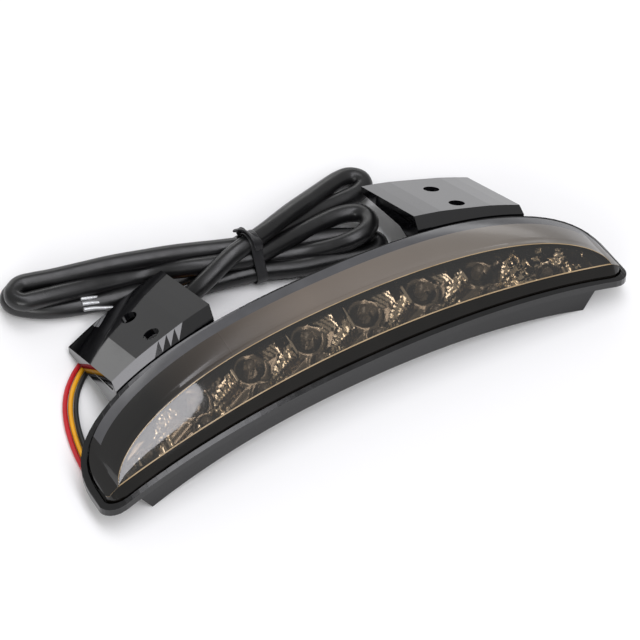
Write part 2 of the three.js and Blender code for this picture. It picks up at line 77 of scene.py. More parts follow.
def ramp(tree, fac, stops):
    node = tree.nodes.new("ShaderNodeValToRGB")
    while len(node.color_ramp.elements) < len(stops):
        node.color_ramp.elements.new(0.5)
    for element, (place, value) in zip(node.color_ramp.elements, stops):
        element.position = place
        rgb = value if isinstance(value, tuple) else (value, value, value)
        element.color = (*rgb, 1)
    tree.links.new(fac, node.inputs["Fac"])
    return node.outputs["Color"]


def bump(tree, shader, fac, strength, distance):
    node = tree.nodes.new("ShaderNodeBump")
    node.inputs["Strength"].default_value = strength
    node.inputs["Distance"].default_value = distance
    tree.links.new(fac, node.inputs["Height"])
    tree.links.new(node.outputs["Normal"], shader.inputs["Normal"])


MOTTLE, GLOSS, RELIEF = 60, 170, 0.0002       # scales of the colour and gloss clouds, depth of bumps


def moulded(name, dark, light, rough, spread=0.06, grain=900, bump_by=0.08, **sockets):
    """Moulded plastic or rubber: faint mottled colour, uneven gloss and a fine grain."""
    m, tree, shader = material(name, dark, rough, **sockets)
    cloud = noise(tree, MOTTLE)
    tree.links.new(ramp(tree, cloud, [(0.3, dark), (0.7, light)]), shader.inputs["Base Color"])
    low, high = max(rough - spread, 0.02), rough + spread
    tree.links.new(ramp(tree, noise(tree, GLOSS, 6), [(0.3, low), (0.7, high)]), shader.inputs["Roughness"])
    bump(tree, shader, noise(tree, grain, 3), bump_by, RELIEF)
    return m


BLACK = moulded("black_moulding", (0.004, 0.004, 0.0042), (0.008, 0.008, 0.0085), 0.17, 0.05, 1400, 0.02)
LEG_BLACK = moulded("leg_polish", (0.003, 0.003, 0.0035), (0.005, 0.005, 0.006), 0.06, 0.02, 400, 0.006,
                    IOR=1.5, Coat_Weight=0.5, Coat_Roughness=0.03)
SLEEVE = moulded("pvc_sleeve", (0.004, 0.004, 0.0042), (0.008, 0.008, 0.0085), 0.33, 0.06, 1800, 0.06)
RUBBER = moulded("black_rubber", (0.010, 0.010, 0.010), (0.020, 0.020, 0.020), 0.62, 0.08, 1500, 0.2)
TIE_BLACK = moulded("tie_plastic", (0.010, 0.010, 0.011), (0.022, 0.022, 0.024), 0.34, 0.06, 1200, 0.08)
WIRE = {
    "red": moulded("red_insulation", (0.42, 0.006, 0.012), (0.55, 0.012, 0.020), 0.34, 0.05, 1500, 0.06),
    "yellow": moulded("yellow_insulation", (0.72, 0.31, 0.008), (0.86, 0.42, 0.015), 0.34, 0.05, 1500, 0.06),
    "black": moulded("black_insulation", (0.010, 0.010, 0.010), (0.018, 0.018, 0.018), 0.34, 0.05, 1500,
                     0.06),
}
STEEL = moulded("zinc_steel", (0.55, 0.55, 0.54), (0.68, 0.67, 0.65), 0.28, 0.08, 900, 0.05, Metallic=1.0)
BLACK_SCREW = moulded("black_screw", (0.03, 0.03, 0.03), (0.06, 0.06, 0.06), 0.35, 0.08, 900, 0.05,
                      Metallic=0.6)
TIN = moulded("tinned_strand", (0.60, 0.61, 0.63), (0.78, 0.79, 0.80), 0.36, 0.08, 2500, 0.4,
              Metallic=0.85)
BOARD = moulded("solder_mask", (0.008, 0.045, 0.022), (0.012, 0.065, 0.032), 0.4, 0.06, 500, 0.08)
EPOXY = moulded("led_epoxy", (0.10, 0.088, 0.075), (0.15, 0.132, 0.112), 0.10, 0.03, 500, 0.02,
                Coat_Weight=0.6)


# ---------- curves and meshes ----------
def through(points, step):
    """Catmull-Rom points through a given route, in millimetres."""
    p = [Vector(q) for q in points]
    out = []
    for i in range(len(p) - 1):
        a, b, c, d = p[max(i - 1, 0)], p[i], p[i + 1], p[min(i + 2, len(p) - 1)]
        for k in range(step):
            t = k / step
            out.append(0.5 * (2 * b + (c - a) * t + (2 * a - 5 * b + 4 * c - d) * t * t
                              + (3 * b - a - 3 * c + d) * t ** 3))
    out.append(p[-1])
    return out


def tube(name, points, radius, mat):
    """A round cord as a curve of one open spline through points in millimetres."""
    data = bpy.data.curves.new(name, "CURVE")
    data.dimensions = "3D"
    data.bevel_depth = radius * MM
    data.bevel_resolution = 7
    data.use_fill_caps = True
    spline = data.splines.new("POLY")
    spline.points.add(len(points) - 1)
    for target, p in zip(spline.points, points):
        target.co = (*(p * MM), 1)
    spline.use_smooth = True
    data.materials.append(mat)
    o = bpy.data.objects.new(name, data)
    bpy.context.scene.collection.objects.link(o)
    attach(o, "root")
    return o


def mesh_piece(name, verts, faces, mats, slot, face_mats=None, smooth=True):
    """A piece from millimetre vertices in the resting frame."""
    data = bpy.data.meshes.new(name)
    data.from_pydata([tuple(Vector(v) * MM) for v in verts], [], faces)
    for m in mats:
        data.materials.append(m)
    if face_mats:
        data.polygons.foreach_set("material_index", face_mats)
    data.polygons.foreach_set("use_smooth", [smooth] * len(faces))
    data.validate()
    o = bpy.data.objects.new(name, data)
    bpy.context.scene.collection.objects.link(o)
    if slot:
        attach(o, "root")
    return o


# ---------- cords, in millimetres ----------
# The wires, the tails and the start of the lead repeat the CAD routes. The rest of the cable is laid out
# where the hank's solid stands.
CABLE_D, WIRE_D, WIRE_GAP, TIN_R = 8.0, 2.0, 2.25, 0.85
LEAD = [(-76.5, 32.1, 4.3), (-70, 32.7, 4.3), (-63, 33, 4.3), (-55, 33.2, 4.3), (-49.6, 33.3, 5.2),
        (-45.9, 33.4, 6.3), (-42, 33.8, 8.2), (-37, 34.6, 10.8), (-31, 36, 13), (-25, 37.6, 15),
        (-18, 39.2, 16.6), (-10.5, 40.5, 17.2), (-2.5, 42.6, 16.8)]
LOOP_1 = [(6.2, 45.9, 15.2), (13.5, 49, 13.2), (21.3, 52, 11), (30, 55.3, 8.4), (39.3, 58.4, 6.4),
          (46, 60.3, 5), (51.5, 60.3, 4.4), (55, 57.3, 4.3), (54.6, 53.2, 4.3), (50.5, 51, 4.3),
          (45, 50.4, 4.3), (38.2, 50.4, 4.3), (27.8, 49.6, 4.6), (16.4, 47.4, 6), (5.1, 45.4, 8.6),
          (-3, 44.6, 10.6), (-10.5, 44.1, 11.1)]
FOLD_1 = [(-20, 46.9, 11.2), (-30, 50.4, 11.3), (-40, 53.6, 11.6), (-53, 57, 12), (-66, 60.2, 12.3),
          (-78, 62.6, 12.3), (-90, 65.2, 12), (-98, 67.2, 12), (-103.6, 68.2, 12), (-107.6, 66.4, 11.8),
          (-108.8, 63.2, 11.8), (-106.4, 60, 11.8), (-101.5, 58.8, 11.8), (-90, 57.3, 11), (-78, 56, 9.6),
          (-66, 54.8, 7.6), (-53, 52.3, 6.6), (-40, 46.4, 9.8), (-30, 42.2, 11), (-20, 39.2, 11.1),
          (-10.5, 36.9, 11.1)]
LOOP_2 = [(2.1, 38.5, 10.2), (13, 40.4, 8.8), (24, 41.6, 8), (34, 41.6, 8), (41.2, 39.3, 8.4),
          (43.9, 34.8, 9.6), (42.2, 29.6, 11), (36.8, 26, 11.9), (29.5, 25.8, 10.8), (22, 28.3, 8),
          (14, 31.8, 5.6), (5, 35.3, 4.8), (-3, 38.4, 4.8), (-10.5, 40.5, 5)]
FOLD_2 = [(-20, 42.6, 4.8), (-30, 44.6, 4.4), (-40, 45.2, 4.3), (-53, 45.8, 4.3), (-66, 48.4, 4.3),
          (-78, 50.8, 4.3), (-90, 54.2, 4.3), (-98, 57.4, 4.3), (-104, 61.2, 4.3), (-108, 65, 4.3),
          (-108.6, 68.8, 4.3), (-105, 71.6, 4.3), (-99, 71.5, 4.3), (-90, 69, 4.3), (-78, 66, 4.3),
          (-66, 64, 4.3), (-53, 60.6, 4.3), (-40, 57.2, 4.3), (-30, 54, 4.4), (-20, 50.6, 4.8),
          (-10.5, 47.7, 5)]
LOOP_3 = [(0, 44.8, 4.6), (8, 41.8, 4.3), (16, 38.8, 4.3), (26.8, 35.2, 4.3), (35.2, 31.4, 4.3),
          (41.2, 27.6, 4.3), (43.6, 23.6, 4.3), (41.2, 20.4, 4.3), (36.5, 20.2, 4.3), (28, 22.4, 4.3),
          (18.9, 24.6, 4.3), (7.7, 27.2, 4.4), (-2.5, 30.6, 4.8), (-10.5, 33.3, 5)]
SLEEVE_END = [(-20, 35.6, 4.6), (-28, 37.2, 4.3), (-36, 38.2, 4.2)]
cable_line = through(LEAD + LOOP_1 + FOLD_1 + LOOP_2 + FOLD_2 + LOOP_3 + SLEEVE_END, 8)
cable = tube("cable", cable_line, CABLE_D / 2, SLEEVE)
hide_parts("cable_lead", "cable_hank")

WIRE_ROUTE = [(-112.5, -25.9, 3.4), (-114.2, -25.9, 3.2), (-116.2, -25.0, 2.8), (-117.6, -22.6, 2.2),
              (-118.0, -19.0, 1.6), (-117.7, -14.5, 1.3), (-117.0, -9.0, 1.3), (-115.8, -3.0, 1.3),
              (-113.8, 4.0, 1.3), (-110.8, 11.0, 1.3), (-106.6, 17.4, 1.3), (-101.4, 22.6, 1.2),
              (-96.0, 26.4, 1.2), (-90.0, 29.2, 1.9), (-85.0, 30.8, 3.1), (-80.9, 31.6, 4.1)]
TAIL_ROUTE = [(-47.4, 40.9, 3.8), (-51, 41.6, 3.6), (-57, 43, 3.6), (-63, 44.6, 4), (-68, 46, 4.6),
              (-72, 47.2, 5.4)]
TIN_ROUTE = [(-72.4, 47.3, 5.5), (-76, 48.3, 6.4), (-80, 49.4, 7.4), (-84.5, 50.3, 8.2)]


def beside(route, offset, rise=0.0):
    """The route moved sideways by offset, in plan."""
    out = []
    for i, p in enumerate(route):
        a, b = route[max(i - 1, 0)], route[min(i + 1, len(route) - 1)]
        dx, dy = b[0] - a[0], b[1] - a[1]
        size = math.hypot(dx, dy)
        out.append((p[0] - offset * dy / size, p[1] + offset * dx / size, p[2] + rise))
    return out


wires, tails = {}, []
for colour, side, rise in (("red", 1, 0.6), ("yellow", 0, 0.0), ("black", -1, -0.9)):
    line = through(beside(WIRE_ROUTE, side * WIRE_GAP), 6)
    wires[colour] = (tube(f"wire_{colour}_lead", line, WIRE_D / 2, WIRE[colour]), line)
    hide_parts(f"wire_{colour}")
    index = {"red": 1, "yellow": 2, "black": 3}[colour]
    inner = [(-36.6 + 0.4 * side, 38.4 - 1.3 * side, 4.2), (-42, 39.4 - 1.9 * side, 4.0)]
    tail = tube(f"tail_{colour}", through(inner + beside(TAIL_ROUTE, -side * WIRE_GAP, rise), 6), WIRE_D / 2,
                WIRE[colour])
    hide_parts(f"tail_wire_{colour}")
    tin = tube(f"tin_{colour}", through(beside(TIN_ROUTE, -side * WIRE_GAP, rise), 6), TIN_R, TIN)
    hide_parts(f"tinned_end_{index}")
    tails += [tail, tin]


# ---------- shape of the crescent, as in the CAD source ----------
HALF, REAR_Y, TIP_Y, FRONT_RISE, REAR_RISE = 126, 47, 4, 12.5, 27
REST_FRONT, REST_REAR, REST_SHIFT_Y = (1.28, -11.40), (81.10, 1.73), -44.95
TILT = math.atan2(REST_REAR[1] - REST_FRONT[1], REST_REAR[0] - REST_FRONT[0])


def clamp(v, a, b):
    return min(b, max(a, v))


def lerp(a, b, t):
    return a + (b - a) * t


def to_rest(x, y, z):
    c, s = math.cos(TILT), math.sin(TILT)
    y, z = y - REST_FRONT[0], z - REST_FRONT[1]
    return (x, c * y + s * z + REST_SHIFT_Y, -s * y + c * z)


def front_y(x, d=0.0, half=HALF):
    u = min(abs(x), 118) / 118
    base = -3 + 7 * (1 - u * u) + d
    c = clamp((abs(x) - (half - 8)) / 8, 0, 1)
    return lerp(base, max(TIP_Y, base), 1 - math.sqrt(1 - c * c))


def rear_y(x, d=0.0, half=HALF):
    u = clamp(abs(x) / half, 0, 1)
    return TIP_Y + (REAR_Y - d - TIP_Y) * (1 - u ** 2.4) ** 0.27


def face_z(x, y):
    u = clamp(abs(x) / HALF, 0, 1)
    low, high = FRONT_RISE * (1 - u ** 2.4) ** 0.9, REAR_RISE * (1 - u ** 2.2) ** 0.6
    a, b = front_y(x), rear_y(x)
    return lerp(low, high, clamp((y - a) / max(b - a, 2), -0.1, 1.15))


LENS_D, LENS_HALF, WIN_HALF, LENS_T, CREASE_W = 2.4, HALF - 3.2, 117.5, 2.0, 0.42


def crease_low(x, half):
    w = clamp(abs(x) / half, 0, 1)
    return [2.1 + 7.4 * (1 - w * w), 8 + 11 * (1 - w * w)]


def crease_high(x, half):
    w = clamp(abs(x) / half, 0, 1)
    return [2.1 + 26.4 * (1 - w * w) ** 0.62, 8 + 17.5 * (1 - w ** 4) ** 0.6]


def lens_section(t, off):
    """Named points and heights of the lens outline at station t, off millimetres inside its outer skin."""
    half = LENS_HALF - off
    x = t * half * 0.9996
    d = LENS_D + off
    bf, br = front_y(x, d, half), rear_y(x, d, half)
    drop = -6 if off > 1 else -1.1
    win = WIN_HALF - 0.6 * off
    lo, hi = crease_low(x, win), crease_high(x, win)
    past = clamp((abs(x) - win) / (half - win + 0.5), 0, 1)
    lip = face_z(x, bf) + 1.1 - 0.3 * off
    lo = [clamp(lo[0], bf + 0.3, br - 1.2), lerp(lo[1], lip + 0.6, past)]
    hi = [clamp(hi[0], lo[0] + 0.15, br - 0.9), lerp(hi[1], lip + 0.75, past)]
    rim_h = lerp(3.3, 1.6, clamp((abs(x) - 60) / 62, 0, 1)) * (1 - 0.5 * past)
    edge = [br - 0.5, max(face_z(x, br) + rim_h, 0)]
    wide = min(1, (hi[0] - lo[0]) / 18)
    return dict(x=x, bf=bf, br=br, lip=lip, lo=lo, hi=hi, edge=edge, wide=wide,
                low_f=face_z(x, bf) + drop, low_r=face_z(x, br) + drop)


def lens_profile(t, off):
    """Outer or inner lens profile at one station, front wall to rear wall, with a zone for each point."""
    s = lens_section(t, off)
    wide = s["wide"]

    def span(p, q, bulge, count, zone):
        return [((lerp(p[0], q[0], k / count), lerp(p[1], q[1], k / count)
                  + bulge * 4 * (k / count) * (1 - k / count) - off), zone) for k in range(count)]

    lip = [s["bf"], s["lip"] - 0.4 * off]
    drop_lip = [lip[0], lip[1] + off]
    rear_top = [s["br"], max(s["edge"][1] - 0.7, s["low_r"] + 0.2)]
    points = span([s["bf"], s["low_f"] + off], drop_lip, 0, 3, "wall")
    points += span(drop_lip, s["lo"], 0.25 * wide, 10, "slope")
    across = math.dist(s["lo"], s["hi"])
    line = min(0.2, CREASE_W / max(across, 0.1))
    for f in [0] + [lerp(line, 1 - line, k / 24) for k in range(25)]:
        points.append(((lerp(s["lo"][0], s["hi"][0], f),
                        lerp(s["lo"][1], s["hi"][1], f) + 1.35 * wide * 4 * f * (1 - f) - off), "window"))
    brow = span(s["hi"], s["edge"], 0.95 * wide, 18, "brow")
    (y, z), zone = brow[2]
    brow[2] = ((y, z - 0.3 * wide), zone)
    points += brow
    points += span(s["edge"], rear_top, 0, 2, "wall")
    points += span(rear_top, [s["br"], s["low_r"] + off], 0, 3, "wall")
    points.append(((s["br"], s["low_r"]), "wall"))
    return s["x"], points


def stations(count):
    """Places along the lens from -1 to 1, closer together at its tips."""
    out = []
    for i in range(count + 1):
        t = -1 + 2 * i / count
        out.append(math.copysign(abs(math.sin(t * math.pi / 2)) ** 0.9, t) if t else 0.0)
    return out


# ---------- lens ----------
def smoke(name, tint, body, share, rough):
    """Smoked polycarbonate: tinted clear layer mixed with a glossy surface."""
    m, tree, shader = material(name, body, rough, IOR=2.9)
    cloud = noise(tree, 35)
    tree.links.new(ramp(tree, cloud, [(0.3, body), (0.7, tuple(v * 1.3 for v in body))]),
                   shader.inputs["Base Color"])
    bump(tree, shader, noise(tree, 120, 2), 0.02, RELIEF)
    clear = tree.nodes.new("ShaderNodeBsdfTransparent")
    clear.inputs["Color"].default_value = (*tint, 1)
    mix = tree.nodes.new("ShaderNodeMixShader")
    mix.inputs["Fac"].default_value = share
    tree.links.new(clear.outputs[0], mix.inputs[1])
    tree.links.new(shader.outputs[0], mix.inputs[2])
    tree.links.new(mix.outputs[0], tree.nodes["Material Output"].inputs["Surface"])
    return m


WINDOW = smoke("smoked_window", (0.80, 0.745, 0.67), (0.010, 0.009, 0.008), 0.30, 0.03)
WINDOW_IN = smoke("smoked_window_inside", (0.94, 0.91, 0.87), (0.03, 0.025, 0.02), 0.06, 0.08)
SLOPE = moulded("dark_slope", (0.003, 0.0025, 0.002), (0.006, 0.005, 0.004), 0.08, 0.03, 500, 0.01)
# Thin lines along the window's two creases: a bronze painted highlight standing for the lights caught on the
# crease fillets.
CREASE_HIGHLIGHT = moulded("crease_painted_highlight", (0.30, 0.21, 0.11), (0.46, 0.34, 0.20), 0.22, 0.05, 500, 0.03)
# Brow colour along the lamp: the smoked brown with painted shade, darkest at the -X end, lighter toward +X
# and a little darker again at the +X tip.
BROW_PAINTED_SHADING = [(0.14, (0.004, 0.0035, 0.003)), (0.27, (0.040, 0.031, 0.024)), (0.45, (0.135, 0.108, 0.086)),
              (0.80, (0.165, 0.145, 0.125)), (0.97, (0.10, 0.09, 0.08))]      # -X end to +X end
BROW_ROUGH = [(0.1, 0.12), (0.35, 0.32)]


def satin_brow():
    """Back-painted satin band; its colour along the lamp's length carries painted light and shade."""
    m, tree, shader = material("satin_brow", (0.1, 0.1, 0.1), 0.3, Coat_Weight=0.25, Coat_Roughness=0.12)
    coord = tree.nodes.new("ShaderNodeTexCoord")
    split = tree.nodes.new("ShaderNodeSeparateXYZ")
    along = tree.nodes.new("ShaderNodeMapRange")
    along.inputs["From Min"].default_value = -HALF * MM
    along.inputs["From Max"].default_value = HALF * MM
    tree.links.new(coord.outputs["Object"], split.inputs[0])
    tree.links.new(split.outputs["X"], along.inputs["Value"])
    shaded_tone = ramp(tree, along.outputs["Result"], BROW_PAINTED_SHADING)
    tint = ramp(tree, noise(tree, 40, 3), [(0.3, 0.92), (0.7, 1.0)])
    mix = tree.nodes.new("ShaderNodeMix")
    mix.data_type = "RGBA"
    mix.blend_type = "MULTIPLY"
    mix.inputs["Factor"].default_value = 1
    tree.links.new(shaded_tone, mix.inputs["A"])
    tree.links.new(tint, mix.inputs["B"])
    tree.links.new(mix.outputs["Result"], shader.inputs["Base Color"])
    tree.links.new(ramp(tree, along.outputs["Result"], BROW_ROUGH), shader.inputs["Roughness"])
    bump(tree, shader, noise(tree, 1600, 3), 0.03, RELIEF)
    return m


BROW = satin_brow()
# Grey band on the brow's rear strips: a painted reflection where the brow rolls toward its rear edge, left
# off at the -X end.
RIM_REFLECTION = moulded("brow_rim_painted_reflection", (0.060, 0.060, 0.064), (0.085, 0.085, 0.090), 0.2, 0.04, 1200, 0.02)
LENS_MATS = [SLOPE, WINDOW, CREASE_HIGHLIGHT, BROW, WINDOW_IN, RIM_REFLECTION]
AS_SLOPE, AS_WINDOW, AS_CREASE_HIGHLIGHT, AS_BROW, AS_WINDOW_IN, AS_RIM_REFLECTION = range(6)    # places in that list
ZONE_MATS = {"wall": AS_SLOPE, "slope": AS_SLOPE, "window": AS_WINDOW, "brow": AS_BROW}
RIM_FROM, RIM_START = 13, 0.12      # the grey rim: first brow strip, and first share of the length


def lens_shell():
    """Closed shell: outer and inner skins joined along the bottom edges and at both tips."""
    rows = []
    for t in stations(220):
        xo, outer = lens_profile(t, 0)
        xi, inner = lens_profile(t, LENS_T)
        rows.append(([to_rest(xo, *p) for p, _ in outer], [to_rest(xi, *p) for p, _ in inner]))
    zones = [z for _, z in outer]
    window = [j for j, z in enumerate(zones) if z == "window"]
    m = len(zones)
    verts = [v for o, i in rows for v in o + i]
    faces, mats = [], []

    def at(i, j, inside):
        return i * 2 * m + (m if inside else 0) + j

    for i in range(len(rows) - 1):
        for j in range(m - 1):
            z = zones[j]
            outside = ZONE_MATS[z]
            # The two crease strips get the painted highlight.
            if j in (window[0], window[-1]):
                outside = AS_CREASE_HIGHLIGHT
            # Rear brow strips past the first share of the length get the painted reflection.
            if z == "brow" and j - window[-1] > RIM_FROM and RIM_START < i / len(rows):
                outside = AS_RIM_REFLECTION
            faces.append((at(i, j, 0), at(i, j + 1, 0), at(i + 1, j + 1, 0), at(i + 1, j, 0)))
            mats.append(outside)
            faces.append((at(i, j, 1), at(i + 1, j, 1), at(i + 1, j + 1, 1), at(i, j + 1, 1)))
            mats.append(AS_WINDOW_IN if z == "window" else AS_SLOPE)
        for j in (0, m - 1):
            a, b, c, d = at(i, j, 0), at(i + 1, j, 0), at(i + 1, j, 1), at(i, j, 1)
            faces.append((a, b, c, d) if j == 0 else (d, c, b, a))
            mats.append(AS_SLOPE)
    for i in (0, len(rows) - 1):
        for j in range(m - 1):
            q = (at(i, j, 0), at(i, j, 1), at(i, j + 1, 1), at(i, j + 1, 0))
            faces.append(q if i == 0 else q[::-1])
            mats.append(AS_SLOPE)
    return mesh_piece("lens_shell", verts, faces, LENS_MATS, "smoked_lens", mats)


lens = lens_shell()
lens.data.set_sharp_from_angle(angle=math.radians(24))
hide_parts("smoked_lens")


# ---------- reflector ----------
def chrome(name, base, rough):
    """Vacuum-metallised plastic with a faint mottle."""
    return moulded(name, base, tuple(min(v * 1.08, 1) for v in base), rough, 0.03, 500, 0.02, Metallic=1.0)


CHROME = chrome("vacuum_chrome", (0.90, 0.86, 0.78), 0.10)
# Darker copy of the same chrome, put on the spots that should read as shaded: painted shade.
CHROME_PAINTED_SHADE = chrome("vacuum_chrome_painted_shade", (0.27, 0.245, 0.215), 0.20)
CELLS, CELL_PITCH, CELL_SHIFT = 8, 27.4, -4.6
TRAY_HALF, TRAY_FRONT, TRAY_REAR = 112, 5.4, 6.6
# Places in the tray's list of materials: full chrome, and chrome darkened as painted shade.
BRIGHT, AS_SHADED_CHROME = 0, 1                          # places in the tray's list of materials
columns = [CELL_SHIFT + (k - (CELLS - 1) / 2) * CELL_PITCH for k in range(CELLS)]
UPPER_BOWL_R, LOWER_BOWL_R, WELL_R = 8.6, 6.4, 3.1     # bowls and wells round the LEDs
leds = []       # x, y and bowl radius of each LED, in the lamp frame
for k, cx in enumerate(columns):
    end = k in (0, CELLS - 1)
    if not end:
        leds.append((cx, 25 - 0.0006 * cx * cx, UPPER_BOWL_R))
    leds.append((cx, 11 if end else 13.5 - 0.0005 * cx * cx, LOWER_BOWL_R))
# heights over the flange face
FLOOR_H, WELL_H, BACK_H, FACE_H = -4.4, -6.0, -6.3, 1.5
SPINDLE_X, SPINDLE_Y, SPINDLE_HALF, SPINDLE_W = 12, 18.6, 10.5, 3.0     # bright spindle beside each LED
SPINDLE_DIR = (0.78, 0.63)
BARB, FLUTE, STEP = 1.9, 1.7, 2.2           # pitches of the small facets
BARB_START = 20                             # keeps the count of barbs positive
BLOCK_X, BLOCK_Y, BLOCK_START = 3.1, 2.7, 40                            # sizes and phase of the blocky facets


def cell_height(x, y):
    """Height of the chromed face over the flange face, and whether the spot keeps bright chrome; the rest
    gets chrome darkened as painted shade.
    """
    lean = 2.6 * (clamp(y, 10, 19) - 16)
    local = (x - lean + 2.4 - CELL_SHIFT) / CELL_PITCH + CELLS / 2
    side = abs(local - round(local)) * CELL_PITCH
    h, bright = FLOOR_H + 0.9 * math.sin(local * 2 * math.pi) ** 2, False
    for cx in columns:
        px = x - cx
        if 3.0 < px < 12.5 and 8.5 < y < 15.5:                      # upright flutes
            h += 0.62 * abs(math.sin(px * math.pi / FLUTE)) + 0.05 * (y - 8.5)
            bright = math.sin(px * math.pi / FLUTE) > -0.2
        dx, dy = px - SPINDLE_X, y - SPINDLE_Y
        along = dx * SPINDLE_DIR[0] + dy * SPINDLE_DIR[1]
        beside_it = dy * SPINDLE_DIR[0] - dx * SPINDLE_DIR[1]
        half_w = SPINDLE_W * (1 - (along / SPINDLE_HALF) ** 2) if abs(along) < SPINDLE_HALF else 0
        if abs(beside_it) < half_w:                                # faceted spindle with barbs
            barb = (along + 0.9 * abs(beside_it)) % BARB
            h = 0.2 - 0.55 * abs(beside_it) - 0.5 * barb + 0.35 * (int((along + BARB_START) / BARB) % 3)
            bright = barb > 0.35
        if cx > 60 and 12 < px < 34 and 9 < y < 24:               # blocky facets past the last LED
            bx, by = px + BLOCK_START, y + BLOCK_START
            block = (int(bx / BLOCK_X) * 3 + int(by / BLOCK_Y) * 5) % 7
            h = -2.6 + 0.36 * block + 0.22 * (bx % BLOCK_X) - 0.2 * (by % BLOCK_Y)
            bright = block != 3
        ramp_at = (px + 0.6 * y) % STEP
        if 24 < y and abs(px - 9) < 6 and 0.5 < ramp_at:            # small steps at the rear edge
            h += 0.35 * ramp_at
            bright = True
    for lx, ly, reach in leds:
        d = math.hypot(x - lx, (y - ly) * 1.15)
        if d < reach:
            bowl = -5.6 + 4.4 * (d / reach) ** 2
            h = lerp(bowl, h, clamp((d / reach - 0.72) / 0.28, 0, 1))
            # The inner part of each bowl round an LED gets the painted shade.
            bright = bright and d > reach * 0.8
        if d < WELL_R:
            h = WELL_H
    if side < 1.5 and 0 < round(local) < CELLS:
        h = max(h, 0.9 - 1.9 * max(side - 0.5, 0))
        bright = side < 1.3
    return h, bright


def reflector_tray():
    """Closed tray: the worked face on top, its flat back below, and the strips between their edges."""
    cols, rows = 440, 64
    face, back, faces, mats, flags = [], [], [], [], []
    for i in range(cols + 1):
        x = -TRAY_HALF + 2 * TRAY_HALF * i / cols
        a, b = front_y(x, TRAY_FRONT), rear_y(x, TRAY_REAR)
        for j in range(rows + 1):
            y = lerp(a, b, j / rows)
            h, bright = cell_height(x, y)
            edge = min(y - a, b - y, TRAY_HALF - abs(x))
            h = lerp(FACE_H - 0.2, h, clamp((edge - 1.4) / 1.6, 0, 1))
            low = lerp(0.3, BACK_H, clamp((edge - 1.6) / 1.2, 0, 1))
            face.append(to_rest(x, y, face_z(x, y) + h))
            back.append(to_rest(x, y, face_z(x, y) + low))
            flags.append(bright)
    top, verts = len(face), face + back
    n = rows + 1
    for i in range(cols):
        for j in range(rows):
            p = i * n + j
            faces.append((p, p + n, p + n + 1, p + 1))
            mats.append(BRIGHT if flags[p] else AS_SHADED_CHROME)
            q = top + p
            faces.append((q, q + 1, q + n + 1, q + n))
            mats.append(AS_SHADED_CHROME)
    for i in range(cols):
        for j in (0, rows):
            p, q = i * n + j, (i + 1) * n + j
            faces.append((p, top + p, top + q, q) if j == 0 else (q, top + q, top + p, p))
            mats.append(AS_SHADED_CHROME)
    for j in range(rows):
        for i in (0, cols):
            p, q = i * n + j, i * n + j + 1
            faces.append((q, top + q, top + p, p) if i == 0 else (p, top + p, top + q, q))
            mats.append(AS_SHADED_CHROME)
    return mesh_piece("reflector_tray", verts, faces, [CHROME, CHROME_PAINTED_SHADE], "reflector_chrome", mats)


tray = reflector_tray()
tray.data.set_sharp_from_angle(angle=math.radians(20))
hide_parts("reflector")


# ---------- tie and collar ----------
STRAP_EDGE = 0.12       # how far the strap's edges are rounded off


def ribbon(name, outline, axis, width, thick, mat, slot, ribs=0.0):
    """A closed strap: outline is a closed list of outer points, axis is the direction of its width."""
    n, verts, faces = len(outline), [], []
    centre = sum(outline, Vector()) / n
    across = [-0.5, -0.42, 0.42, 0.5]
    for i, p in enumerate(outline):
        tangent = (outline[(i + 1) % n] - outline[i - 1]).normalized()
        out = tangent.cross(axis).normalized()
        if out.dot(p - centre) < 0:
            out = -out
        lift = ribs * (i % 2)
        for k, w in enumerate(across):
            verts.append(p + axis * (w * width) + out * (lift if k in (1, 2) else -STRAP_EDGE))
        for k, w in enumerate(reversed(across)):
            verts.append(p + axis * (w * width) - out * (thick - (STRAP_EDGE if k in (0, 3) else 0)))
    for i in range(n):
        for k in range(8):
            a, b = i * 8 + k, i * 8 + (k + 1) % 8
            c, d = (i + 1) % n * 8 + k, (i + 1) % n * 8 + (k + 1) % 8
            faces.append((a, b, d, c))
    return mesh_piece(name, verts, faces, [mat], slot)


TIE_X, TIE_TURN, TIE_REACH, TIE_WIDTH, TIE_T, TIE_STEP = -10.5, -0.1, 4.9, 4.6, 0.8, 0.7
TIE_RIB, TAG_T = 0.12, 0.9
tie_axis = Vector((math.cos(TIE_TURN), math.sin(TIE_TURN), 0))
outline = []
for cy, cz, start in ((33.3, 5.0, 150), (47.7, 5.0, 270), (40.5, 17.2, 30)):     # the bundle's corners
    for k in range(13):
        angle = math.radians(start + 120 * k / 12)
        y, z = cy + TIE_REACH * math.cos(angle), cz + TIE_REACH * math.sin(angle)
        outline.append(Vector((TIE_X, y, z)))
tie_line = []
for a, b in zip(outline, outline[1:] + outline[:1]):
    steps = max(1, round((b - a).length / TIE_STEP))
    tie_line += [a.lerp(b, k / steps) for k in range(steps)]
tie = ribbon("tie_band", tie_line, tie_axis, TIE_WIDTH, TIE_T, TIE_BLACK, "tie_plastic", TIE_RIB)
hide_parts("cable_tie")


def strip(name, line, widths, axis_line, thick, mat, slot):
    """A flat strap along line; axis_line gives the direction of its width at each point."""
    verts, faces = [], []
    for i, p in enumerate(line):
        tangent = (line[min(i + 1, len(line) - 1)] - line[max(i - 1, 0)]).normalized()
        axis = (axis_line[i] - tangent * axis_line[i].dot(tangent)).normalized()
        out = tangent.cross(axis)
        w = widths[i] / 2
        for s, o in ((-w, 0.3), (-w * 0.86, 0.5), (w * 0.86, 0.5), (w, 0.3), (w, -0.3), (w * 0.86, -0.5),
                     (-w * 0.86, -0.5), (-w, -0.3)):
            verts.append(p + axis * s + out * o * thick)
    for i in range(len(line) - 1):
        for k in range(8):
            a, b = i * 8 + k, i * 8 + (k + 1) % 8
            faces.append((a, b, b + 8, a + 8))
    faces.append(tuple(range(7, -1, -1)))
    faces.append(tuple(range(len(verts) - 8, len(verts))))
    return mesh_piece(name, verts, faces, [mat], slot)


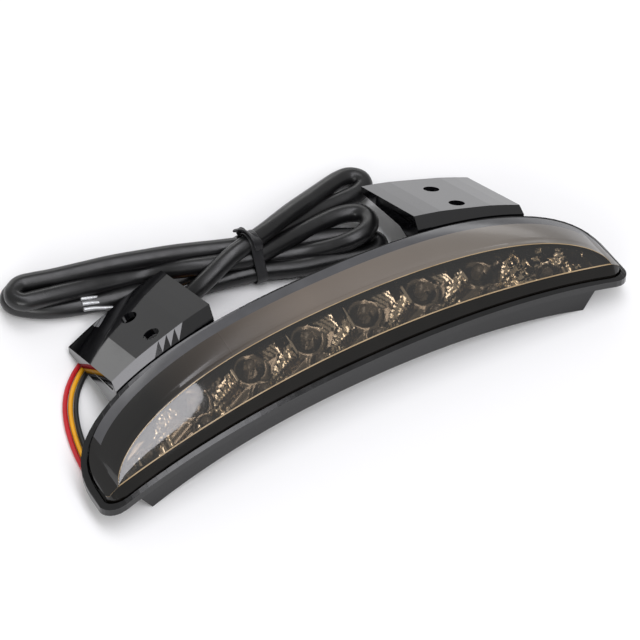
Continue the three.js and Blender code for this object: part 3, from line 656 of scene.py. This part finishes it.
# the strap's two ends are twisted over each other at the rear of the bundle's top
tail_line = through([(-11.4, 46.2, 16.8), (-11.9, 46.2, 18.6), (-12.1, 45.0, 20.6), (-11.9, 42.8, 22.4),
                     (-11.2, 40.2, 22.9), (-10.4, 37.6, 22.3), (-9.8, 35.7, 20.2), (-9.6, 34.9, 18.0)], 6)
turns = [Matrix.Rotation(0.9 * math.sin(math.pi * i / (len(tail_line) - 1)), 3, "Y") @ tie_axis
         for i in range(len(tail_line))]
tail_widths = [3.2 + 2.2 * math.sin(math.pi * (i + 1) / len(tail_line)) for i in range(len(tail_line))]
knot = strip("tie_twist", tail_line, tail_widths, turns, TAG_T, TIE_BLACK, "tie_plastic")
stub_line = through([(-10.2, 46.0, 16.6), (-11.0, 47.2, 17.8), (-12.8, 47.4, 19.2), (-14.6, 46.4, 20.0)], 6)
stub = strip("tie_stub", stub_line, [2.6] * len(stub_line), [tie_axis] * len(stub_line), TAG_T,
             TIE_BLACK, "tie_plastic")

# start and end of the collar's axis
COLLAR = [(-80.7, 31.63, 4.3), (-76.7, 32.07, 4.3)]


def turned(name, start, end, profile, mat, slot, sides=40):
    """A turned piece between two points; profile is a closed list of (along 0..1, radius)."""
    a, b = Vector(start), Vector(end)
    axis = (b - a).normalized()
    u = axis.cross(Vector((0, 0, 1))).normalized()
    v = axis.cross(u)
    verts, faces, n = [], [], len(profile)
    for k in range(sides):
        angle = 2 * math.pi * k / sides
        ray = u * math.cos(angle) + v * math.sin(angle)
        verts += [a.lerp(b, t) + ray * r for t, r in profile]
    for k in range(sides):
        for j in range(n):
            p, q = k * n + j, k * n + (j + 1) % n
            r, s = (k + 1) % sides * n + j, (k + 1) % sides * n + (j + 1) % n
            faces.append((p, r, s, q))
    return mesh_piece(name, verts, faces, [mat], slot)


collar = turned("sleeve_end_collar", *COLLAR, [(0.0, 0.15), (0.0, 3.3), (0.12, 3.75), (0.35, 3.85),
                (0.7, 3.8), (0.9, 3.95), (1.0, 3.9), (1.0, 0.15)], RUBBER, "black_rubber")
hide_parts("sleeve_collar")

for colour, (o, line) in wires.items():
    start = tuple(v * MM for v in line[0])


# ---------- finishes of the carried-over CAD nodes ----------
def finish(prefix, mat, bevel=0.0, angle=30):
    """Gives the CAD nodes whose names start with prefix a material, even shading and a small edge bevel."""
    for name in sorted(nodes):
        if not name.startswith(prefix):
            continue
        o = bpy.data.objects[name]
        o.data.materials.clear()
        o.data.materials.append(mat)
        o.data.polygons.foreach_set("use_smooth", [True] * len(o.data.polygons))
        o.data.set_sharp_from_angle(angle=math.radians(angle))
        if bevel:
            b = o.modifiers.new("edge", "BEVEL")
            b.width = bevel * MM
            b.segments = 3
            b.limit_method = "ANGLE"
            b.angle_limit = math.radians(angle)
            w = o.modifiers.new("even", "WEIGHTED_NORMAL")
            w.keep_sharp = True


finish("housing", BLACK, 0.35, 24)
finish("leg_left", LEG_BLACK, 0.3, 32)
finish("leg_right", LEG_BLACK, 0.3, 32)
finish("leg_screw", BLACK_SCREW)
finish("lens_seal", RUBBER)
finish("led_board", BOARD)
finish("led_lower", EPOXY)
finish("led_upper", EPOXY)
finish("board_screw", STEEL)
finish("wire_grommet", RUBBER, 0.3)


# ---------- floor, world and lights ----------
FLOOR = 6000
WHITE = material("floor_white", (0.93, 0.93, 0.93), 0.6)[0]
floor = mesh_piece("floor", [(-FLOOR, -FLOOR, 0), (FLOOR, -FLOOR, 0), (FLOOR, FLOOR, 0), (-FLOOR, FLOOR, 0)],
                   [(0, 1, 2, 3)], [WHITE], None, smooth=False)
world = bpy.data.worlds.new("studio")
bpy.context.scene.world = world
world.use_nodes = True
world.node_tree.nodes["Background"].inputs["Color"].default_value = (1, 1, 1, 1)
world.node_tree.nodes["Background"].inputs["Strength"].default_value = 0.5


def softbox(name, place, target, size, power, colour=(1, 1, 1)):
    """A rectangular area light, in metres, aimed at a target."""
    lamp = bpy.data.lights.new(name, "AREA")
    lamp.shape = "RECTANGLE"
    lamp.size, lamp.size_y = size
    lamp.energy = power
    lamp.color = colour
    o = bpy.data.objects.new(name, lamp)
    bpy.context.scene.collection.objects.link(o)
    o.location = place
    o.rotation_euler = (Vector(target) - Vector(place)).to_track_quat("-Z", "Y").to_euler()


bpy.context.scene.view_settings.view_transform = "Standard"
softbox("overhead", (0.07, -0.45, 1.2), (0.07, -0.45, 0), (0.40, 2.0), 11.5, (0.96, 0.955, 1.0))
softbox("front", (-1.1, -1.0, 0.7), (0, 0, 0), (0.9, 0.6), 7)
softbox("rear", (0.5, 1.4, 0.55), (0, 0, 0.02), (1.8, 0.4), 5)
softbox("leg_edge", (-0.38, 1.5, 0.28), (-0.38, 0, 0.28), (0.5, 0.5), 0.9)
